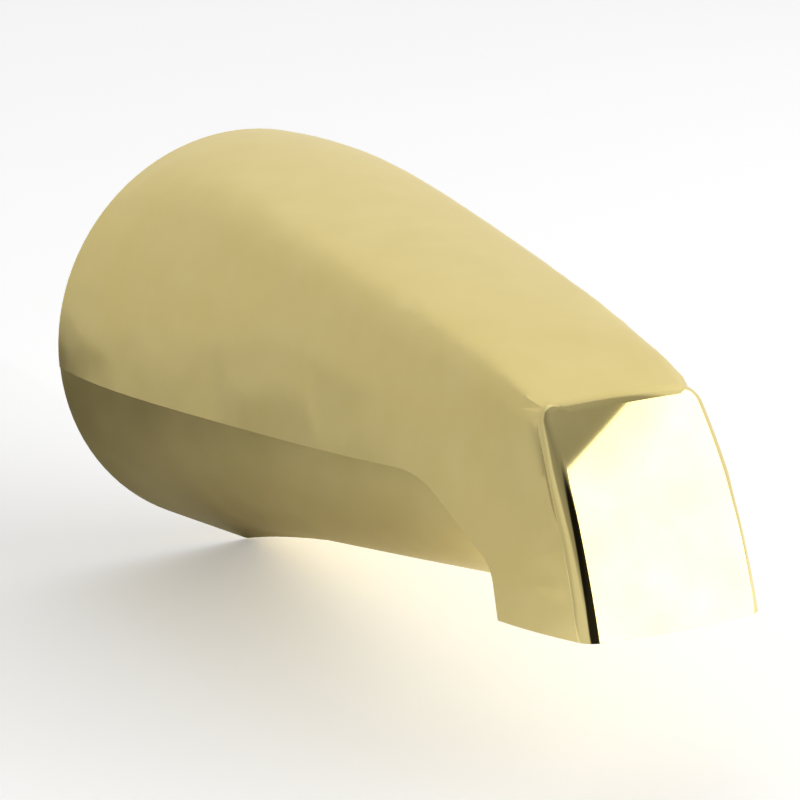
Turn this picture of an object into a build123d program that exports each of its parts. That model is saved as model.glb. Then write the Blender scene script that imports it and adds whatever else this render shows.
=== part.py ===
from build123d import *
import os
from math import acos, asin, cos, pi, radians, sin

# Bath spout, one hollow casting. Millimetres, +X out from the wall, +Z up.
# The origin is on the pipe axis in the wall plane.

# Overall
rim_radius = 34.0
reach = 135.4
outlet_height = -11.0

# Hood, the upper form: its sections along the reach, each with a crown height,
# a shoulder corner, the blend of that corner, and the bow and foot of the side
shoulder_station = 40.0
shoulder_crown = 31.8
shoulder_half = 17.3
shoulder_height = 29.2
shoulder_round = 9.0
shoulder_bow = 2.6
shoulder_foot = 29.5

waist_setback = 55.4
waist_crown = 26.6
waist_half = 15.2
waist_height = 24.6
waist_round = 6.0
waist_bow = 1.5
waist_foot = 24.1

neck_setback = 27.4
neck_crown = 21.6
neck_half = 13.1
neck_height = 20.2
neck_round = 3.8
neck_bow = -0.3
neck_foot = 23.6

brow_overrun = 4.6
brow_crown = 7.5
brow_half = 12.7
brow_height = 6.4
brow_round = 2.0
brow_bow = 0.3
brow_foot = 8.3

foot_clear = 6.0

# Arch, the lower edge of the hood's sides, from the wall to the outlet
arch_wall_height = -2.75
arch_middle_station = 48.5
arch_middle_height = -1.2
arch_apex_setback = 37.9
arch_apex_height = 3.6
arch_apex_round = 20.0
arch_knee_setback = 18.8
arch_knee_rise = 6.4
arch_knee_round = 8.0
arch_toe_setback = 14.9

# Belly, the round lower form: its sections along the reach, each with a radius,
# the height of its centre and how far its keel stands proud of that radius
belly_setback = 0.1
keel_proud = 3.9
keel_round = 1.6
belly_first_station = 30.0
belly_first_radius = 28.2
belly_first_centre = 0.6
belly_first_proud = 1.8
belly_second_station = 63.0
belly_second_radius = 22.9
belly_second_centre = 1.6
belly_second_proud = 0.4
belly_third_setback = 42.4
belly_third_radius = 17.2
belly_third_centre = 1.6
belly_third_proud = 0.2
belly_end_setback = 14.4
belly_end_radius = 11.8
belly_end_centre = 1.2
belly_end_proud = 0.35
belly_round = 7.0
belly_wall_top = -0.5
belly_top_slope = 0.09

# Front facet, part of a large ball
facet_radius = 79.0
facet_toe_lean = 16.0
facet_side_round = 3.4

# Outlet opening
outlet_setback = 3.0
outlet_length = 9.6
outlet_half = 14.2
outlet_round = 4.0
outlet_clear = 2.0
throat_rise = 20.0
throat_setback = 14.2
throat_length = 13.0
throat_half = 9.6

# Recess behind the wall rim
wall_thickness = 3.2
recess_depth = 30.0
recess_half = 25.8
recess_rise = 28.0
recess_centre = 2.0

# Waterway between the web and the outlet
web_thickness = 5.0
waterway_half = 24.6
waterway_rise = 26.2
waterway_centre = 2.4
waterway_middle_half = 16.8
waterway_middle_rise = 18.2
waterway_middle_centre = 3.6
waterway_end_setback = 16.4
waterway_end_half = 9.5
waterway_end_rise = 7.0
waterway_end_centre = 4.0

# Inlet boss with the pipe thread
boss_radius = 14.5
boss_setback = 6.0
thread_radius = 9.3
thread_length = 17.0
lead_in = 1.4
inlet_radius = 8.0

# Stations and heights that follow from the sizes above
waist_station = reach - waist_setback
neck_station = reach - neck_setback
brow_station = reach + brow_overrun
foot_height = outlet_height - foot_clear


def ring(radius, corners):
    """A closed ring in the wall plane, in arcs that match the edges of a hood section."""
    ends = corners[1:] + [corners[0] - 360]
    arcs = [Plane.YZ * CenterArc((0, 0), radius, start, end - start) for start, end in zip(corners, ends)]
    return make_face(arcs)


def hood_section(station, crown, half, height, blend, bow, foot):
    """A crowned top, two blended shoulders and two bowed sides."""
    side_half = (half + foot) / 2 + bow
    side_height = (height + foot_height) / 2
    with BuildLine(Plane.YZ.offset(station)) as outline:
        ThreePointArc((-half, height), (0, crown), (half, height))
        ThreePointArc((half, height), (side_half, side_height), (foot, foot_height))
        Line((foot, foot_height), (-foot, foot_height))
        ThreePointArc((-foot, foot_height), (-side_half, side_height), (-half, height))
        fillet(outline.vertices().group_by(Axis.Z)[-1], radius=blend)
    return make_face(outline.edges())


def belly_section(station, radius, centre, proud, blend):
    """A round with two straight flanks that meet in a keel."""
    keel = centre - radius - proud
    flank = acos(radius / (radius + proud))
    touch = (radius * sin(flank), centre - radius * cos(flank))
    top = belly_wall_top + belly_top_slope * station
    top_turn = asin((top - centre) / radius)
    top_half = radius * cos(top_turn)
    side_turn = (top_turn + flank - pi / 2) / 2
    side = (radius * cos(side_turn), centre + radius * sin(side_turn))
    with BuildLine(Plane.YZ.offset(station)) as outline:
        Line((-top_half, top), (top_half, top))
        ThreePointArc((top_half, top), side, touch)
        Line(touch, (0, keel))
        Line((0, keel), (-touch[0], touch[1]))
        ThreePointArc((-touch[0], touch[1]), (-side[0], side[1]), (-top_half, top))
        fillet(outline.vertices().sort_by(Axis.Z)[0], radius=blend)
    return make_face(outline.edges())


# Front facet: what lies outside the large ball
toe_lean = radians(facet_toe_lean)
ball_station = reach - facet_radius * cos(toe_lean)
ball_height = outlet_height - facet_radius * sin(toe_lean)
with BuildPart() as facet_trim:
    with Locations((waist_station, 0, 0)):
        Box(brow_station, 4 * rim_radius, 4 * rim_radius, align=(Align.MIN, Align.CENTER, Align.CENTER))
    with Locations((ball_station, 0, ball_height)):
        Sphere(facet_radius, mode=Mode.SUBTRACT)

# Hood: the loft, cut by the arch and the outlet plane from below, then by the facet
hood_sections = [
    ring(rim_radius, [110, 70, 48, -27, -153, -228]),
    hood_section(shoulder_station, shoulder_crown, shoulder_half, shoulder_height,
                 shoulder_round, shoulder_bow, shoulder_foot),
    hood_section(waist_station, waist_crown, waist_half, waist_height,
                 waist_round, waist_bow, waist_foot),
    hood_section(neck_station, neck_crown, neck_half, neck_height,
                 neck_round, neck_bow, neck_foot),
    hood_section(brow_station, brow_crown, brow_half, brow_height,
                 brow_round, brow_bow, brow_foot),
]
with BuildPart() as hood:
    loft(sections=hood_sections)
    with BuildSketch(Plane.XZ) as below_arch:
        with BuildLine() as arch:
            apex = (reach - arch_apex_setback, arch_apex_height)
            knee = (reach - arch_knee_setback, outlet_height + arch_knee_rise)
            toe = (reach - arch_toe_setback, outlet_height)
            ThreePointArc((0, arch_wall_height), (arch_middle_station, arch_middle_height), apex)
            Polyline(apex, knee, toe, (2 * brow_station, outlet_height), (2 * brow_station, -2 * rim_radius),
                     (0, -2 * rim_radius), (0, arch_wall_height))
            fillet(arch.vertices().sort_by_distance(apex)[0], radius=arch_apex_round)
            fillet(arch.vertices().sort_by_distance(knee)[0], radius=arch_knee_round)
        make_face()
    extrude(amount=2 * rim_radius, both=True, mode=Mode.SUBTRACT)
    add(facet_trim.part, mode=Mode.SUBTRACT)
    facet = hood.faces().filter_by(GeomType.SPHERE)[0]
    fillet(facet.edges().sort_by(Axis.Z)[1:-1], radius=facet_side_round)

# Belly
belly_sections = [
    belly_section(0, rim_radius - belly_setback, 0, keel_proud, keel_round),
    belly_section(belly_first_station, belly_first_radius, belly_first_centre,
                  belly_first_proud, belly_round),
    belly_section(belly_second_station, belly_second_radius, belly_second_centre,
                  belly_second_proud, belly_round),
    belly_section(reach - belly_third_setback, belly_third_radius, belly_third_centre,
                  belly_third_proud, belly_round),
    belly_section(reach - belly_end_setback, belly_end_radius, belly_end_centre,
                  belly_end_proud, belly_round),
]
with BuildPart() as belly:
    loft(sections=belly_sections)

# Waterway: a chamber that narrows towards the nose and turns down to the outlet
waterway_station = recess_depth + web_thickness
with BuildPart() as waterway:
    with BuildSketch(Plane.YZ.offset(waterway_station)) as chamber_start:
        with Locations((0, waterway_centre)):
            Ellipse(waterway_half, waterway_rise)
    with BuildSketch(Plane.YZ.offset(waist_station)) as chamber_middle:
        with Locations((0, waterway_middle_centre)):
            Ellipse(waterway_middle_half, waterway_middle_rise)
    with BuildSketch(Plane.YZ.offset(reach - waterway_end_setback)) as chamber_end:
        with Locations((0, waterway_end_centre)):
            Ellipse(waterway_end_half, waterway_end_rise)
    loft(sections=[chamber_start.sketch, chamber_middle.sketch, chamber_end.sketch])
    with BuildSketch(Plane.XY.offset(outlet_height)) as lip:
        with Locations((reach - outlet_setback - outlet_length / 2, 0)):
            RectangleRounded(outlet_length, 2 * outlet_half, outlet_round)
    with BuildSketch(Plane.XY.offset(outlet_height + throat_rise)) as throat:
        with Locations((reach - throat_setback - throat_length / 2, 0)):
            RectangleRounded(throat_length, 2 * throat_half, outlet_round)
    loft(sections=[lip.sketch, throat.sketch], ruled=True)
    extrude(lip.sketch, amount=-outlet_clear)

# Recess behind the wall rim, with the boss left standing in it
with BuildPart() as recess:
    with BuildSketch(Plane.YZ) as recess_mouth:
        Circle(rim_radius - wall_thickness)
    with BuildSketch(Plane.YZ.offset(recess_depth)) as recess_floor:
        with Locations((0, recess_centre)):
            Ellipse(recess_half, recess_rise)
    loft(sections=[recess_mouth.sketch, recess_floor.sketch], ruled=True)
    with BuildSketch(Plane.YZ.offset(boss_setback)) as boss_end:
        Circle(boss_radius)
    extrude(boss_end.sketch, amount=recess_depth, mode=Mode.SUBTRACT)

# Spout body
with BuildPart() as spout_body:
    add(hood.part)
    add(belly.part)
    add(waterway.part, mode=Mode.SUBTRACT)
    add(recess.part, mode=Mode.SUBTRACT)
    with BuildSketch(Plane.XY) as bore:
        thread_end = boss_setback + thread_length
        with BuildLine():
            Polyline((boss_setback, 0), (boss_setback, thread_radius + lead_in),
                     (boss_setback + lead_in, thread_radius), (thread_end, thread_radius),
                     (thread_end, inlet_radius), (waterway_station + web_thickness, inlet_radius),
                     (waterway_station + web_thickness, 0), close=True)
        make_face()
    revolve(axis=Axis.X, mode=Mode.SUBTRACT)

os.makedirs("parts", exist_ok=True)
spout_body.part.label = "spout_body"
export_step(spout_body.part, "parts/spout_body.step")
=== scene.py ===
# %% [markdown]
# # A brass bath spout
# This lesson dresses a cast bath spout for a product picture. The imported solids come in
# as a fixed frame, in metres, with +X out from the wall, +Z up and the origin on the pipe
# axis in the wall plane. The frame is never moved or reshaped: a finer copy of the casting
# stands in for it, and everything new is placed by the frame's own numbers.

# %% Load the frame
import math

import bpy
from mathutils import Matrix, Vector


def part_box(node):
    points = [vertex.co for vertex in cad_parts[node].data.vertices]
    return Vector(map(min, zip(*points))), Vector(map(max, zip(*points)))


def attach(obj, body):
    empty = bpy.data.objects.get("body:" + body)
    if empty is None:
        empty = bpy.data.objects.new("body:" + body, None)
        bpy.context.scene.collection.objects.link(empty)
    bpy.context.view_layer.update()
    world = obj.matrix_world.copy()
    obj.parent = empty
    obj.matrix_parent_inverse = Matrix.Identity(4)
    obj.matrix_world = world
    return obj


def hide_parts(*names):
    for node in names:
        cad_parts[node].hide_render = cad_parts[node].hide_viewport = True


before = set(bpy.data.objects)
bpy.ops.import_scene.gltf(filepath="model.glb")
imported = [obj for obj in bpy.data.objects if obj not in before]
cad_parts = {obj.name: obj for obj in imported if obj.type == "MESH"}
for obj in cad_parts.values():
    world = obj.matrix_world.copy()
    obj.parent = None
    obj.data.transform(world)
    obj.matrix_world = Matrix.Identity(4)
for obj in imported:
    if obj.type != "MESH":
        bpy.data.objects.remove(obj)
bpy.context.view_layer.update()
spout_low, spout_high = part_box("spout_body")
print("spout from", [round(v, 4) for v in spout_low], "to", [round(v, 4) for v in spout_high])

# %% [markdown]
# ## The casting
# The body of the real spout is one hollow brass casting that was ground and polished by
# hand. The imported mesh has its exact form, but as loose triangles that would show flat
# under a glossy finish. A copy could be remeshed, which would round its crisp edges. Here
# the copy is merged instead, so that the faces flow together.

# %% A merged copy of the casting
MM = 0.001
SEAM_GAP = 0.002 * MM


def select_only(piece):
    """Make one piece the only selected and active one."""
    bpy.ops.object.select_all(action="DESELECT")
    piece.select_set(True)
    bpy.context.view_layer.objects.active = piece


casting_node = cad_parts["spout_body"]
casting = casting_node.copy()
casting.data = casting_node.data.copy()
casting.name = "spout_casting"
casting.parent = None
for key in list(casting.keys()):
    del casting[key]
bpy.context.scene.collection.objects.link(casting)
select_only(casting)
bpy.ops.mesh.customdata_custom_splitnormals_clear()
bpy.ops.object.mode_set(mode="EDIT")
bpy.ops.mesh.select_all(action="SELECT")
bpy.ops.mesh.remove_doubles(threshold=SEAM_GAP)
bpy.ops.mesh.select_all(action="DESELECT")
bpy.ops.mesh.select_mode(type="FACE")
bpy.ops.object.mode_set(mode="OBJECT")
print("merged casting", len(casting.data.vertices), "vertices", len(casting.data.polygons), "faces")

# %% [markdown]
# ## The facet and its edge
# The front facet is part of a large ball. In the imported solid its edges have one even
# rounding, while on the real spout the rounding is tighter and narrows a little towards the
# top. A bevel would have to work on the small faces of the old rounding and would tear. So
# the nose is cut back behind it, by a block with a smaller ball taken out of it, and then
# drawn forward again until it meets the facet in a sharp edge.

# %% Cut the nose back
BALL_RADIUS = 79.0 * MM
TOE_LEAN = math.radians(16)
OUTLET_HEIGHT = -11.0 * MM
FACET_START = 112.0 * MM
CUT_BACK = 2.0 * MM
ON_BALL = 0.05 * MM
BALL_SEGMENTS = 256
ball_centre = Vector((spout_high.x - BALL_RADIUS * math.cos(TOE_LEAN), 0.0,
                      OUTLET_HEIGHT - BALL_RADIUS * math.sin(TOE_LEAN)))


def cut_away(piece, tool):
    """Take the tool's volume out of a piece, and remove the tool."""
    cut = piece.modifiers.new("cut", "BOOLEAN")
    cut.operation = "DIFFERENCE"
    cut.object = tool
    select_only(piece)
    bpy.ops.object.modifier_apply(modifier="cut")
    bpy.data.objects.remove(tool)


BLOCK_SIZE = 60.0 * MM
bpy.ops.mesh.primitive_cube_add(size=BLOCK_SIZE, location=(FACET_START + BLOCK_SIZE / 2, 0, 0))
block = bpy.context.object
bpy.ops.mesh.primitive_uv_sphere_add(segments=BALL_SEGMENTS, ring_count=BALL_SEGMENTS // 2,
                                     radius=BALL_RADIUS - CUT_BACK, location=ball_centre)
cut_away(block, bpy.context.object)
cut_away(casting, block)
mesh = casting.data
bpy.ops.object.mode_set(mode="EDIT")
bpy.ops.mesh.select_all(action="SELECT")
bpy.ops.mesh.remove_doubles(threshold=10 * SEAM_GAP)
bpy.ops.mesh.quads_convert_to_tris()
bpy.ops.mesh.select_all(action="DESELECT")
bpy.ops.object.mode_set(mode="OBJECT")
print("nose cut back,", len(mesh.polygons), "faces")

# %% [markdown]
# The cut leaves a face of many small pieces where the facet will be. They are deleted, the
# rim's crowded points are merged, and one face closes the nose again: its corners are the
# ring that is drawn forward.

# %% Open the nose
RING_GAP = 0.6 * MM
ALONG_BALL = 0.965
near = [abs((v.co - ball_centre).length - BALL_RADIUS + CUT_BACK) < ON_BALL and v.co.x > FACET_START
        for v in mesh.vertices]
for face in mesh.polygons:
    face.select = all(near[i] for i in face.vertices) and face.normal.dot(
        (face.center - ball_centre).normalized()) > ALONG_BALL
bpy.ops.object.mode_set(mode="EDIT")
bpy.ops.mesh.delete(type="FACE")
bpy.ops.mesh.select_mode(type="EDGE")
bpy.ops.mesh.select_non_manifold(extend=False)
bpy.ops.mesh.remove_doubles(threshold=RING_GAP)
bpy.ops.mesh.select_all(action="DESELECT")
bpy.ops.mesh.select_non_manifold(extend=False)
bpy.ops.mesh.edge_face_add()
bpy.ops.mesh.select_all(action="DESELECT")
bpy.ops.mesh.select_mode(type="FACE")
bpy.ops.object.mode_set(mode="OBJECT")
cap = max(mesh.polygons, key=lambda face: len(face.vertices)).index
ring = list(mesh.polygons[cap].vertices)
print("open nose with a ring of", len(ring), "points")

# %% [markdown]
# The facet's outline has two almost straight sides, a bowed crown and two round corners. It
# could be traced with a curve, but a few formulas say the same in named sizes. Half of it
# is written down as a line of points on the ball, and mirrored.

# %% The facet's outline
SIDE_WIDEST = 13.45 * MM
SIDE_WIDEST_HEIGHT = -5.0 * MM
SIDE_BOW = 2.2
SIDE_HALF = 12.55 * MM
CROWN_TOP = 17.95 * MM
CROWN_BOW = 5.0
CORNER = 2.2 * MM
OUTLINE_STEP = 0.1 * MM
corner_half = SIDE_HALF - CORNER
corner_height = CROWN_TOP - CROWN_BOW * corner_half ** 2 - CORNER


def on_ball(half, height):
    """A point of the facet's ball at a place across and a height."""
    rise = height - ball_centre.z
    return Vector((ball_centre.x + math.sqrt(BALL_RADIUS ** 2 - half ** 2 - rise ** 2), half, height))


def spread(first, last, step):
    """Even values from first to last."""
    count = max(2, round(abs(last - first) / step))
    return [first + (last - first) * i / count for i in range(count)]


half_outline = [(SIDE_WIDEST - SIDE_BOW * (z - SIDE_WIDEST_HEIGHT) ** 2, z)
                for z in spread(OUTLET_HEIGHT, corner_height, OUTLINE_STEP)]
half_outline += [(corner_half + CORNER * math.cos(turn), corner_height + CORNER * math.sin(turn))
                 for turn in spread(0.0, math.pi / 2, OUTLINE_STEP / CORNER)]
half_outline += [(y, CROWN_TOP - CROWN_BOW * y ** 2) for y in spread(corner_half, 0.0, OUTLINE_STEP)]
outline = [on_ball(-y, z) for y, z in half_outline] + [on_ball(y, z) for y, z in half_outline[::-1]]
print("outline of", len(outline), "points")

# %% [markdown]
# Each point of the ring has a piece of the skin behind it. The skin's direction there says
# which way the point travels forward, and later how its rounding has to end. It is taken
# before anything moves, and smoothed along the ring.

# %% The skin behind the ring
FACES_DOWN = -0.9
SMOOTH_ROUNDS = 4


def skin_normal(faces):
    """Mean normal of the faces behind a ring point, the outlet's flat face left out."""
    return sum((face.normal * face.area for face in faces if face.normal.z > FACES_DOWN), Vector()).normalized()


behind = {index: [] for index in ring}
for face in mesh.polygons:
    if face.index != cap:
        for index in face.vertices:
            if index in behind:
                behind[index].append(face)
edge_points = [index for index in ring if any(face.normal.z > FACES_DOWN for face in behind[index])]
first = min(edge_points, key=lambda index: (mesh.vertices[index].co.z > OUTLET_HEIGHT + ON_BALL,
                                            mesh.vertices[index].co.y))
turned = ring[ring.index(first):] + ring[:ring.index(first)]
if turned[1] not in edge_points:
    turned = [turned[0]] + turned[:0:-1]
edge_points = [index for index in turned if index in set(edge_points)]
skins = [skin_normal(behind[index]) for index in edge_points]
for step in range(SMOOTH_ROUNDS):
    skins = [(skins[max(0, i - 1)] + 2 * skins[i] + skins[min(len(skins) - 1, i + 1)]).normalized()
             for i in range(len(skins))]
skins = dict(zip(edge_points, skins))
print("ring points on the facet's edge", len(edge_points))

# %% [markdown]
# Each ring point now goes forward along its skin to the ball, and from there to the nearest
# place on the outline. The places are kept in order and a small step apart, because points
# that overtake each other fold the faces behind them. A few small faces at the two upper
# corners, where the outline turns fast, still fold.

# %% Draw the nose forward to the facet
RING_STEP = 0.25 * MM
BOTTOM_HALF = 11.5 * MM
spots = []
for index in edge_points:
    point = mesh.vertices[index].co
    spoke = point - ball_centre
    skin = skins[index]
    ahead = (spoke - spoke.dot(skin) * skin).normalized()
    along = spoke.dot(ahead)
    goal = point + ahead * (math.sqrt(along ** 2 - spoke.length_squared + BALL_RADIUS ** 2) - along)
    spots.append(min(range(len(outline)), key=lambda i: (outline[i] - goal).length_squared))
spots[0], spots[-1] = 0, len(outline) - 1
least = round(RING_STEP / OUTLINE_STEP)
for i in range(1, len(spots)):
    spots[i] = max(spots[i], spots[i - 1] + least)
spots[-1] = len(outline) - 1
for i in range(len(spots) - 2, -1, -1):
    spots[i] = min(spots[i], spots[i + 1] - least)
for index, spot in zip(edge_points, spots):
    mesh.vertices[index].co = outline[spot]
bottom = [index for index in ring if index not in skins]
widest = max(abs(mesh.vertices[index].co.y) for index in bottom)
for index in bottom:
    mesh.vertices[index].co = on_ball(mesh.vertices[index].co.y * BOTTOM_HALF / widest, OUTLET_HEIGHT)
mesh.update()
print("nose drawn forward, ring points at the outlet", len(bottom))

# %% [markdown]
# ## The roundings
# The polishing wheel ran over the facet's edge and left it round, a little wider at the
# outlet than at the top. A bevel can't follow such a change, so narrow insets in the facet
# give the rounding its rows, and each ring point gets its own chain of points, one per row.

# %% Inset the rows of the rounding
ROUND_ROWS = 6
THIN = 0.01 * MM
sharp = {index: mesh.vertices[index].co.copy() for index in ring}
old_count = len(mesh.vertices)
mesh.polygons[cap].select = True
bpy.ops.object.mode_set(mode="EDIT")
for row in range(ROUND_ROWS):
    bpy.ops.mesh.inset(thickness=THIN)
bpy.ops.mesh.select_all(action="DESELECT")
bpy.ops.object.mode_set(mode="OBJECT")
rows = {index: [] for index in ring}
for index in ring + list(range(old_count, len(mesh.vertices))):
    point = mesh.vertices[index].co
    home = min(ring, key=lambda i: (sharp[i] - point).length_squared)
    rows[home].append(((sharp[home] - point).length, index))
print("chains", len(rows), "of up to", max(len(found) for found in rows.values()), "points")

# %% [markdown]
# The points of a chain are laid on an arc that touches the facet and the skin behind. The
# arc also gives each point's true normal, which is kept for the light. At the outlet there
# is no skin to meet, so the rows there only step up the ball. The table gives the reach of
# the rounding, in millimetres, for heights in millimetres.

# %% Round the facet's edges
LIP = 0.04 * MM
ROUND_TABLE = [(-11, 1.65), (6, 1.65), (12, 1.5), (15, 1.4), (30, 1.4)]
CROWN_ROUND = 1.5 * MM


def round_width(point):
    """How far the rounding reaches from the sharp edge at a place on it."""
    for (low, start), (high, end) in zip(ROUND_TABLE, ROUND_TABLE[1:]):
        if point.z <= high * MM:
            side = MM * (start + (end - start) * max(0.0, point.z / MM - low) / (high - low))
            break
    if point.z < corner_height:
        return side
    share = min(1.0, max(0.0, (SIDE_HALF - abs(point.y)) / (2 * CORNER)))
    return side + (CROWN_ROUND - side) * share


for name, kind, domain in (("kept_normal", "FLOAT_VECTOR", "POINT"), ("in_cap", "BOOLEAN", "FACE"),
                           ("in_round", "BOOLEAN", "FACE"), ("in_skin", "BOOLEAN", "FACE")):
    mesh.attributes.new(name, kind, domain)
kept_normal = mesh.attributes["kept_normal"]
for home, found in rows.items():
    edge = sharp[home]
    front = (edge - ball_centre).normalized()
    chain = [index for away, index in sorted(found)]
    if home not in skins:
        up = (Vector((0, 0, 1)) - front.z * front).normalized()
        for row, index in enumerate(chain):
            place = edge + up * LIP * row - ball_centre
            mesh.vertices[index].co = ball_centre + place * (BALL_RADIUS / place.length)
            kept_normal.data[index].vector = front
        continue
    skin = skins[home]
    turn = front.angle(skin)
    width = round_width(edge)
    radius = width / math.tan(turn / 2)
    middle = (front + skin).normalized()
    centre = edge - middle * (radius / middle.dot(front))
    for row, index in enumerate(chain):
        normal = skin.slerp(front, row / ROUND_ROWS)
        place = centre + normal * radius
        if edge.z < OUTLET_HEIGHT + ON_BALL:
            place.z = OUTLET_HEIGHT
        mesh.vertices[index].co = place
        kept_normal.data[index].vector = normal
mesh.update()
print("rounded", len(rows), "places along the edge")

# %% [markdown]
# The later steps treat the facet, its rounding and the skin in different ways, so the faces
# carry a mark. The facet is the one face with many corners.

# %% Mark the facet and its rounding
MANY_CORNERS = 8
arc_points = set(ring) | set(range(old_count, len(mesh.vertices)))
in_cap = mesh.attributes["in_cap"]
in_round = mesh.attributes["in_round"]
for face in mesh.polygons:
    if len(face.vertices) > MANY_CORNERS:
        in_cap.data[face.index].value = True
        face.select = True
    elif all(index in arc_points for index in face.vertices) and max(face.vertices) >= old_count:
        in_round.data[face.index].value = True
print("rounded edge of", sum(entry.value for entry in in_round.data), "faces")

# %% [markdown]
# ## The facet's grid
# The facet is still one face, which a renderer would split into long slivers. Planes across
# and along it cut it into a fine grid instead.

# %% Cut the facet into a grid
GRID = 1.4 * MM
bpy.ops.object.mode_set(mode="EDIT")
bpy.ops.mesh.hide(unselected=True)
for y in spread(-SIDE_HALF, SIDE_HALF, GRID)[1:]:
    bpy.ops.mesh.select_all(action="SELECT")
    bpy.ops.mesh.bisect(plane_co=(0, y, 0), plane_no=(0, 1, 0))
for z in spread(OUTLET_HEIGHT, CROWN_TOP, GRID)[1:]:
    bpy.ops.mesh.select_all(action="SELECT")
    bpy.ops.mesh.bisect(plane_co=(0, 0, z), plane_no=(0, 0, 1))
bpy.ops.mesh.reveal(select=False)
bpy.ops.mesh.select_all(action="SELECT")
bpy.ops.mesh.quads_convert_to_tris()
bpy.ops.mesh.select_all(action="DESELECT")
bpy.ops.object.mode_set(mode="OBJECT")
print("facet of", sum(entry.value for entry in mesh.attributes["in_cap"].data), "faces")

# %% [markdown]
# ## The ground skin
# The long sides were ground by hand and flow without a step. The outer skin is found by
# spreading from the crown as far as the outlet's and the wall's flat faces, so that the
# waterway and the recess inside are left alone.

# %% Find the outer skin
FLAT_END = -0.99


def is_flat_end(face):
    """Faces of the outlet plane and the wall plane."""
    return (face.normal.z < FLAT_END and abs(face.center.z - OUTLET_HEIGHT) < ON_BALL) or (
        face.normal.x < FLAT_END and face.center.x < ON_BALL)


sharing = {}
for face in mesh.polygons:
    for key in face.edge_keys:
        sharing.setdefault(key, []).append(face.index)
top = max(mesh.polygons, key=lambda face: face.center.z)
outer = {top.index}
waiting = [top.index]
while waiting:
    for key in mesh.polygons[waiting.pop()].edge_keys:
        for index in sharing[key]:
            if index not in outer and not is_flat_end(mesh.polygons[index]):
                outer.add(index)
                waiting.append(index)
in_skin = mesh.attributes["in_skin"]
for index in outer:
    in_skin.data[index].value = True
print("outer skin of", len(outer), "faces")

# %% [markdown]
# Its long triangles are cut in halves until hardly an edge is longer than a polisher would
# notice. A subdivision surface would be quicker, but it would round the crisp edges too.

# %% A finer outer skin
LONGEST_EDGE = 1.6 * MM
CUT_ROUNDS = 4
bpy.ops.object.mode_set(mode="EDIT")
bpy.ops.mesh.select_mode(type="EDGE")
bpy.ops.mesh.select_all(action="SELECT")
bpy.ops.mesh.quads_convert_to_tris()
bpy.ops.mesh.select_all(action="DESELECT")
bpy.ops.object.mode_set(mode="OBJECT")
for cut in range(CUT_ROUNDS):
    flags = mesh.attributes["in_skin"].data
    skin = {key for face in mesh.polygons if flags[face.index].value for key in face.edge_keys}
    for edge in mesh.edges:
        start, end = (mesh.vertices[index].co for index in edge.vertices)
        edge.select = edge.key in skin and (start - end).length > LONGEST_EDGE
    print("edges to cut", sum(edge.select for edge in mesh.edges))
    bpy.ops.object.mode_set(mode="EDIT")
    bpy.ops.mesh.subdivide(number_cuts=1)
    bpy.ops.mesh.select_all(action="SELECT")
    bpy.ops.mesh.quads_convert_to_tris()
    bpy.ops.mesh.select_all(action="DESELECT")
    bpy.ops.object.mode_set(mode="OBJECT")
print("skin cut to", len(mesh.polygons), "faces")

# %% [markdown]
# ## The mirror facet
# The facet has a mirror finish, in which even a small flat would show. Its new points are
# cast back onto the ball.

# %% Cast the facet onto the ball
cap_flags = mesh.attributes["in_cap"].data
facet = {face.index for face in mesh.polygons if cap_flags[face.index].value}
facet_points = {index for face in facet for index in mesh.polygons[face].vertices}
facet_group = casting.vertex_groups.new(name="facet")
facet_group.add(list(facet_points), 1.0, "REPLACE")
bpy.ops.object.empty_add(location=ball_centre)
centre_mark = bpy.context.object
select_only(casting)
cast = casting.modifiers.new("cast", "CAST")
cast.object = centre_mark
cast.vertex_group = "facet"
cast.factor = 1.0
cast.use_radius_as_size = False
cast.size = BALL_RADIUS
bpy.ops.object.modifier_apply(modifier="cast")
bpy.data.objects.remove(centre_mark)
off = max(abs((mesh.vertices[index].co - ball_centre).length - BALL_RADIUS) for index in facet_points)
print("facet points", len(facet_points), "farthest from the ball", round(off / MM, 4), "mm")

# %% [markdown]
# ## Easing
# The skin is eased in small steps back and forth, which takes out the flats between the
# old corners but keeps the size. Crisp edges, the facet and its roundings stay put, and
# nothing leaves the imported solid's box.

# %% Ease the skin
EASE_STEPS = 30
EASE_IN = 0.5
EASE_OUT = -0.52
CRISP_ANGLE = math.radians(22)
bpy.ops.object.shade_smooth_by_angle(angle=CRISP_ANGLE)
held = set(facet_points)
for edge in mesh.edges:
    if edge.use_edge_sharp:
        held.update(edge.vertices)
flags = mesh.attributes["in_skin"].data
round_flags = mesh.attributes["in_round"].data
for face in mesh.polygons:
    if round_flags[face.index].value or not flags[face.index].value:
        held.update(face.vertices)
    face.select = False
for edge in mesh.edges:
    edge.select = False
for vertex in mesh.vertices:
    vertex.select = vertex.index not in held
before = [vertex.co.copy() for vertex in mesh.vertices]
bpy.ops.object.mode_set(mode="EDIT")
bpy.ops.mesh.select_mode(type="VERT")
for step in range(EASE_STEPS):
    bpy.ops.mesh.vertices_smooth(factor=EASE_IN)
    bpy.ops.mesh.vertices_smooth(factor=EASE_OUT)
bpy.ops.object.mode_set(mode="OBJECT")
for vertex in mesh.vertices:
    vertex.co = [min(max(value, low), high) for value, low, high in zip(vertex.co, spout_low, spout_high)]
moved = max((vertex.co - old).length for vertex, old in zip(mesh.vertices, before))
print("eased", sum(vertex.select for vertex in mesh.vertices), "points by up to", round(moved / MM, 3), "mm")

# %% [markdown]
# ## Smooth light on the facet
# On the facet and its roundings the true normals are known, and take the place of the
# averaged ones, so that the mirror shows a clean picture of the room.

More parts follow.
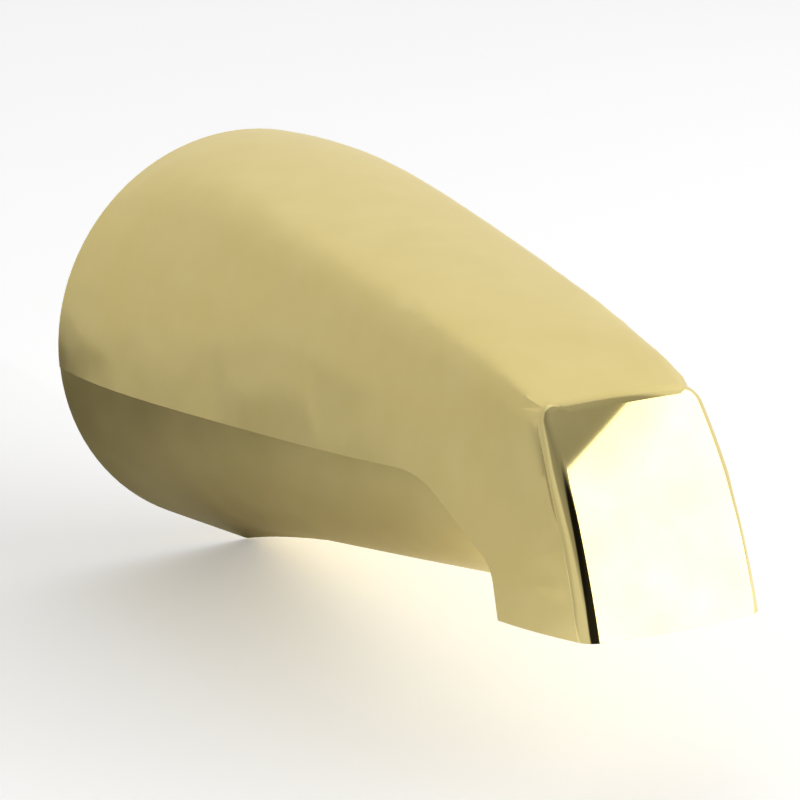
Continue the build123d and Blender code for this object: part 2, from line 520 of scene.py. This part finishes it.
# %% True normals
SAME_WAY = math.cos(math.radians(14))
KEPT_LENGTH = 0.9
true_normals = {vertex.index: entry.vector.normalized() for vertex, entry in
                zip(mesh.vertices, mesh.attributes["kept_normal"].data) if entry.vector.length > KEPT_LENGTH}
for index in facet_points:
    true_normals[index] = (mesh.vertices[index].co - ball_centre).normalized()
light_normals = [corner.vector.copy() for corner in mesh.corner_normals]
round_flags = mesh.attributes["in_round"].data
for face in mesh.polygons:
    smooth = face.index in facet or round_flags[face.index].value
    for corner, index in zip(face.loop_indices, face.vertices):
        if index in true_normals and (smooth or face.normal.dot(true_normals[index]) > SAME_WAY):
            light_normals[corner] = true_normals[index]
mesh.normals_split_custom_set(light_normals)
print("true normals at", len(true_normals), "points")

# %% [markdown]
# One mark stays on the faces for the finish: where the mirror polish is. The others are
# removed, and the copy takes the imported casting's place.

# %% Put the casting in place
mesh.attributes.new("mirror_finish", "FLOAT", "FACE")
mirror_flags = mesh.attributes["mirror_finish"].data
round_flags = mesh.attributes["in_round"].data
for face in mesh.polygons:
    mirror_flags[face.index].value = float(face.index in facet or round_flags[face.index].value)
for name in ("in_cap", "in_round", "in_skin", "kept_normal"):
    mesh.attributes.remove(mesh.attributes[name])
casting.vertex_groups.clear()
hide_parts("spout_body")
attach(casting, "root")
print("casting", len(mesh.vertices), "vertices", len(mesh.polygons), "faces")

# %% [markdown]
# ## Node and colour helpers
# Every finish below is a small node tree. One function adds a node with its settings and
# links, and one turns the sRGB hex colours that a designer would pick into the linear
# values that the renderer works with.

# %% Helpers for finishes


def linear(hex_colour):
    """Linear RGBA of an sRGB hex colour."""
    channels = [int(hex_colour[i:i + 2], 16) / 255 for i in (1, 3, 5)]
    return [c / 12.92 if c <= 0.04045 else ((c + 0.055) / 1.055) ** 2.4 for c in channels] + [1.0]


def add_node(tree, kind, inputs=None, **settings):
    """Add a node: settings are its own properties, inputs its values or links."""
    node = tree.nodes.new(kind)
    for name, value in settings.items():
        setattr(node, name, value)
    for name, value in (inputs or {}).items():
        if isinstance(value, bpy.types.NodeSocket):
            tree.links.new(value, node.inputs[name])
        else:
            node.inputs[name].default_value = value
    return node


print("mid grey in linear light", round(linear("#808080")[0], 4))

# %% [markdown]
# ## Polished brass
# Brass is an alloy of copper and zinc with a warm yellow shine. The long sides were brought
# up on a soft wheel, which leaves a satin bloom with a faint wavy tone, while the front
# facet and its rounding are a true mirror. The mark on the faces says where the mirror is.
# Along the crown it fades where the surface turns up, as the wheel's work does.

# %% Brass finish
MIRROR_FULL = 0.74
MIRROR_END = 0.82
MIRROR_ROUGH = 0.06
SATIN_ROUGH = (0.40, 0.46)
BLOOM_SIZE = 9.0 * MM
BLOOM_RANGE = (0.3, 0.7)

# Cast brass, ground and polished: a soft yellow sheen that shows the room as broad tones,
# with a bloom in patches of about 9 mm, and a clear picture of the room on the facet
brass = bpy.data.materials.new("polished_brass")
brass.use_nodes = True
tree = brass.node_tree
shader = tree.nodes["Principled BSDF"]
place = add_node(tree, "ShaderNodeTexCoord").outputs["Object"]

surface = add_node(tree, "ShaderNodeNewGeometry")
facing = add_node(tree, "ShaderNodeSeparateXYZ", {0: surface.outputs["Normal"]})
front = add_node(tree, "ShaderNodeAttribute", attribute_name="mirror_finish")
below = add_node(tree, "ShaderNodeMapRange", {
    "Value": facing.outputs["Z"], "From Min": MIRROR_FULL, "From Max": MIRROR_END,
    "To Min": 1.0, "To Max": 0.0}, interpolation_type="SMOOTHSTEP")
mirror = add_node(tree, "ShaderNodeMath", {0: front.outputs["Fac"], 1: below.outputs["Result"]},
                  operation="MULTIPLY")

bloom = add_node(tree, "ShaderNodeTexNoise", {
    "Vector": place, "Scale": 1 / BLOOM_SIZE, "Detail": 3.0, "Roughness": 0.5})
satin = add_node(tree, "ShaderNodeMapRange", {
    "Value": bloom.outputs["Fac"], "From Min": BLOOM_RANGE[0], "From Max": BLOOM_RANGE[1],
    "To Min": SATIN_ROUGH[0], "To Max": SATIN_ROUGH[1]})
gloss = add_node(tree, "ShaderNodeMix", {
    "Factor": mirror.outputs[0], "A": satin.outputs["Result"], "B": MIRROR_ROUGH})
tone = add_node(tree, "ShaderNodeValToRGB", {"Fac": bloom.outputs["Fac"]})
for stop, position, colour in zip(tone.color_ramp.elements, BLOOM_RANGE, ("#EAD78F", "#EFDD9A")):
    stop.position = position
    stop.color = linear(colour)

shader.inputs["Metallic"].default_value = 1.0
tree.links.new(tone.outputs["Color"], shader.inputs["Base Color"])
tree.links.new(gloss.outputs["Result"], shader.inputs["Roughness"])
casting.data.materials.clear()
casting.data.materials.append(brass)
print("brass on", casting.name)

# %% [markdown]
# ## Floor
# The picture has a plain white ground with no horizon. A wide pale plane under the keel
# does that, and it also throws light back up on the belly, as a studio table does. A small
# glow, for what the eye and the brass see of it, lifts the paper to white without more
# light on the spout.

# %% White floor
FLOOR_HALF = 3.0
FLOOR_GLOW = 0.2
FIBRE_SIZE = 2.0 * MM
bpy.ops.object.select_all(action="DESELECT")
bpy.ops.mesh.primitive_plane_add(size=2 * FLOOR_HALF, location=(0, 0, spout_low.z))
floor = bpy.context.object
floor.name = "floor"
bpy.ops.object.transform_apply(location=True, rotation=True, scale=True)

# Uncoated white paper: matt, with a barely seen cloud of fibres, drawn at 2 mm because real
# fibres are too fine for the picture
paper = bpy.data.materials.new("white_paper")
paper.use_nodes = True
paper_tree = paper.node_tree
paper_shader = paper_tree.nodes["Principled BSDF"]
paper_place = add_node(paper_tree, "ShaderNodeTexCoord").outputs["Object"]
fibre = add_node(paper_tree, "ShaderNodeTexNoise", {"Vector": paper_place, "Scale": 1 / FIBRE_SIZE})
paper_tone = add_node(paper_tree, "ShaderNodeValToRGB", {"Fac": fibre.outputs["Fac"]})
paper_tone.color_ramp.elements[0].color = linear("#F8F8F8")
paper_tone.color_ramp.elements[1].color = linear("#FBFBFB")
paper_tree.links.new(paper_tone.outputs["Color"], paper_shader.inputs["Base Color"])
paper_shader.inputs["Roughness"].default_value = 0.9
rays = add_node(paper_tree, "ShaderNodeLightPath").outputs
seen = add_node(paper_tree, "ShaderNodeMath", {
    0: rays["Is Camera Ray"], 1: rays["Is Glossy Ray"]}, operation="MAXIMUM")
seen = add_node(paper_tree, "ShaderNodeMath", {
    0: seen.outputs[0], 1: rays["Is Transmission Ray"]}, operation="MAXIMUM")
glow = add_node(paper_tree, "ShaderNodeMath", {0: seen.outputs[0], 1: FLOOR_GLOW}, operation="MULTIPLY")
paper_shader.inputs["Emission Color"].default_value = (1.0, 1.0, 1.0, 1.0)
paper_tree.links.new(glow.outputs[0], paper_shader.inputs["Emission Strength"])
floor.data.materials.append(paper)
print("floor", 2 * FLOOR_HALF, "m wide at", round(spout_low.z, 4))

# %% [markdown]
# ## Light
# Brass shows its surroundings, so the room is half of the finish. The room is a soft
# grey-white tent, brighter on the far side than on the near side.

# %% Studio tent
FAR_SIDE = (-0.3, 0.95, 0.0)
NEAR_LEVEL, FAR_LEVEL, TOP_LEVEL = 0.53, 0.95, 1.0
TOP_START, TOP_FULL = 0.7, 0.95
world = bpy.data.worlds.new("studio_tent")
bpy.context.scene.world = world
world.use_nodes = True
sky = world.node_tree
background = sky.nodes["Background"]
toward = add_node(sky, "ShaderNodeTexCoord").outputs["Generated"]
side = add_node(sky, "ShaderNodeVectorMath", {0: toward, 1: FAR_SIDE}, operation="DOT_PRODUCT")
walls = add_node(sky, "ShaderNodeMapRange", {
    "Value": side.outputs["Value"], "From Min": -1.0, "From Max": 1.0,
    "To Min": NEAR_LEVEL, "To Max": FAR_LEVEL})
height = add_node(sky, "ShaderNodeSeparateXYZ", {0: toward})
tent = add_node(sky, "ShaderNodeMapRange", {
    "Value": height.outputs["Z"], "From Min": TOP_START, "From Max": TOP_FULL,
    "To Min": walls.outputs["Result"], "To Max": TOP_LEVEL}, interpolation_type="SMOOTHSTEP")
print("tent from", NEAR_LEVEL, "to", FAR_LEVEL)

# %% [markdown]
# The tent isn't even all round. Its roof is dim ahead of the nose, which gives the facet
# its dull corner, one panel on the near side is brighter, and between that panel and the
# soft box is a dark gap, which draws the black line down the facet's near edge. Each patch
# has a direction, the degrees from its middle where it starts and ends to fade, and a share
# of the tent's light.

# %% Patches in the tent

def patch(centre, start, end, share):
    """Share of the tent's light left around one direction, fading to 1 outside."""
    near = add_node(sky, "ShaderNodeVectorMath", {0: toward, 1: centre}, operation="DOT_PRODUCT")
    return add_node(sky, "ShaderNodeMapRange", {
        "Value": near.outputs["Value"], "From Min": math.cos(math.radians(end)),
        "From Max": math.cos(math.radians(start)), "To Min": 1.0, "To Max": share},
        interpolation_type="SMOOTHSTEP").outputs["Result"]


def join(first, second, operation):
    """Two light levels joined by one operation."""
    return add_node(sky, "ShaderNodeMath", {0: first, 1: second}, operation=operation).outputs[0]


def direction(turn, rise):
    """Unit vector from degrees around and above the level."""
    turn, rise = math.radians(turn), math.radians(rise)
    return (math.cos(turn) * math.cos(rise), math.sin(turn) * math.cos(rise), math.sin(rise))


ROOF_SHARE = 0.42
PANEL_SHARE = 1.4
GAP_SHARE = 0.03
roof = join(patch(direction(37, 63), 19, 27, ROOF_SHARE), patch(direction(-38, 50), 26, 38, ROOF_SHARE),
            "MINIMUM")
level = join(tent.outputs["Result"], roof, "MULTIPLY")
level = join(level, patch(direction(-62, 15), 12, 35, PANEL_SHARE), "MULTIPLY")
level = join(level, patch(direction(-13, 22), 20, 27, GAP_SHARE), "MULTIPLY")
sky.links.new(level, background.inputs["Strength"])
background.inputs["Color"].default_value = (1.0, 1.0, 1.0, 1.0)
print("tent with", len(sky.nodes), "nodes")

# %% [markdown]
# A large upright soft box ahead of the nose fills the facet with white. Its upper edge is
# the slanting line between the facet's white and its dull corner.

# %% Soft box
BOX_TURN = math.radians(47)
BOX_AWAY = 0.8
BOX_TOP = 0.894
BOX_WIDTH = 1.2
BOX_GLOW = 2.2
nose = Vector((spout_high.x - 10 * MM, 0, 8 * MM))
box_height = BOX_TOP - spout_low.z
box_aim = Vector((math.cos(BOX_TURN), math.sin(BOX_TURN), 0))
box_place = nose + BOX_AWAY * box_aim
box_place.z = (BOX_TOP + spout_low.z) / 2
lamp = bpy.data.lights.new("soft_box", "AREA")
lamp.shape = "RECTANGLE"
lamp.size = BOX_WIDTH
lamp.size_y = box_height
lamp.energy = BOX_GLOW * math.pi * BOX_WIDTH * box_height
box = bpy.data.objects.new("soft_box", lamp)
bpy.context.scene.collection.objects.link(box)
box.location = box_place
box.rotation_euler = (-box_aim).to_track_quat("-Z", "Y").to_euler()
print("soft box at", [round(v, 3) for v in box_place], "power", round(lamp.energy, 2))

# %% [markdown]
# ## Painted shade card
# A sheet graded from dark at the wall end to pale towards the nose lies under the spout on
# the near side. It is painted shade: camera, diffuse light and shadows pass through it, so only
# the brass's reflections pick it up, as the shade of its left end and belly, which gives depth.

# %% Painted shade card
CARD_LOW = (-0.40, -0.45)
CARD_HIGH = (0.075, 0.005)
SHADE_DARK_END = -0.040
SHADE_PALE_END = 0.035
CARD_LIFT = 0.3 * MM
card_middle = [(low + high) / 2 for low, high in zip(CARD_LOW, CARD_HIGH)]
bpy.ops.object.select_all(action="DESELECT")
bpy.ops.mesh.primitive_plane_add(size=1, location=(*card_middle, spout_low.z + CARD_LIFT))
shade_card = bpy.context.object
shade_card.name = "painted_shade_card"
shade_card.scale = (CARD_HIGH[0] - CARD_LOW[0], CARD_HIGH[1] - CARD_LOW[1], 1)
bpy.ops.object.transform_apply(location=True, rotation=True, scale=True)
# Only the brass's reflections see it, so it paints shade there and nowhere else
shade_card.visible_camera = False
shade_card.visible_diffuse = False
shade_card.visible_shadow = False

# Painted shade for the brass's reflections: matt grey, sprayed from dark to pale, no shine of its own
shade_card_material = bpy.data.materials.new("painted_shade_card")
shade_card_material.use_nodes = True
card_tree = shade_card_material.node_tree
card_shader = card_tree.nodes["Principled BSDF"]
card_place = add_node(card_tree, "ShaderNodeTexCoord").outputs["Object"]
card_along = add_node(card_tree, "ShaderNodeSeparateXYZ", {0: card_place})
# Painted shade: dark at the wall end, pale towards the nose
painted_shade_share = add_node(card_tree, "ShaderNodeMapRange", {
    "Value": card_along.outputs["X"], "From Min": SHADE_DARK_END, "From Max": SHADE_PALE_END})
painted_shade_tone = add_node(card_tree, "ShaderNodeMix", {
    "Factor": painted_shade_share.outputs["Result"], "A": linear("#4A4A4A"), "B": linear("#D2D2D2")},
    data_type="RGBA")
card_tree.links.new(painted_shade_tone.outputs["Result"], card_shader.inputs["Base Color"])
card_shader.inputs["Roughness"].default_value = 0.9
shade_card.data.materials.append(shade_card_material)
print("card from", CARD_LOW, "to", CARD_HIGH)

# %% [markdown]
# ## Camera
# The picture was taken with a long lens from the front left and a little above. The place
# and the two angles come from fitting the wall end's circle and the outlet plane.

# %% Camera
camera_data = bpy.data.cameras.new("camera")
camera_data.lens = 135.0
camera_data.sensor_width = 36.0
camera = bpy.data.objects.new("camera", camera_data)
bpy.context.scene.collection.objects.link(camera)
camera.location = (0.4484, -0.2068, 0.1254)
camera.rotation_euler = (math.radians(74.34), 0.0, math.radians(62.21))
bpy.context.scene.camera = camera
bpy.context.scene.view_settings.view_transform = "Standard"
print("camera", round((camera.location - nose).length, 3), "m from the nose")
